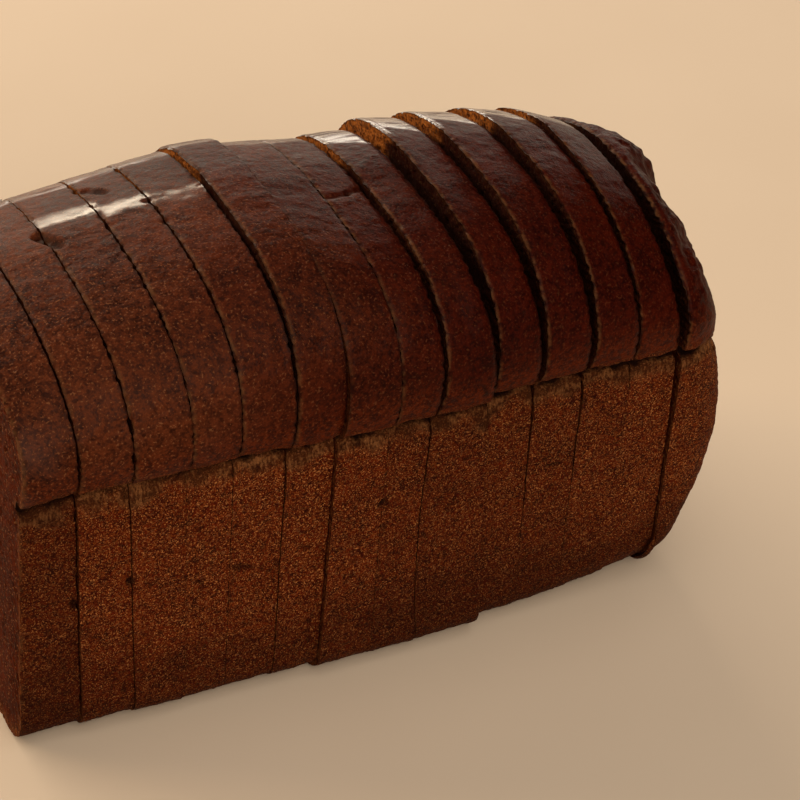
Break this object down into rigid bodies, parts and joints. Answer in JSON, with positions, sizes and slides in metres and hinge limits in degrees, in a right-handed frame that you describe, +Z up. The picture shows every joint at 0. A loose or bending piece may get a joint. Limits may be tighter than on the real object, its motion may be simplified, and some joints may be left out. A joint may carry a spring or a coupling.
{
  "type": "sliced rye bread loaf",
  "caption": "Dark rye tin loaf, sliced crosswise with its slices and rounded heel still standing together; a domed crown overhangs the straight-sided body in a lip.",
  "frame": {"origin": "centre of the loaf's box on the surface it rests on", "axes": "+X along the loaf from its cut end towards the heel, +Y across the loaf to the side away from the viewer, +Z up"},
  "size_m": [0.191, 0.0992, 0.1176],
  "materials": {
    "rye_crust": "dark, dry, satin bread crust over a brown open crumb"
  },
  "bodies": {
    "root": {"slice_01": "rye_crust", "slice_02": "rye_crust", "slice_03": "rye_crust", "slice_04": "rye_crust", "slice_05": "rye_crust", "slice_06": "rye_crust", "slice_07": "rye_crust", "slice_08": "rye_crust", "slice_09": "rye_crust", "slice_10": "rye_crust", "slice_11": "rye_crust", "slice_12": "rye_crust", "slice_13": "rye_crust", "heel": "rye_crust"}
  },
  "joints": []
}
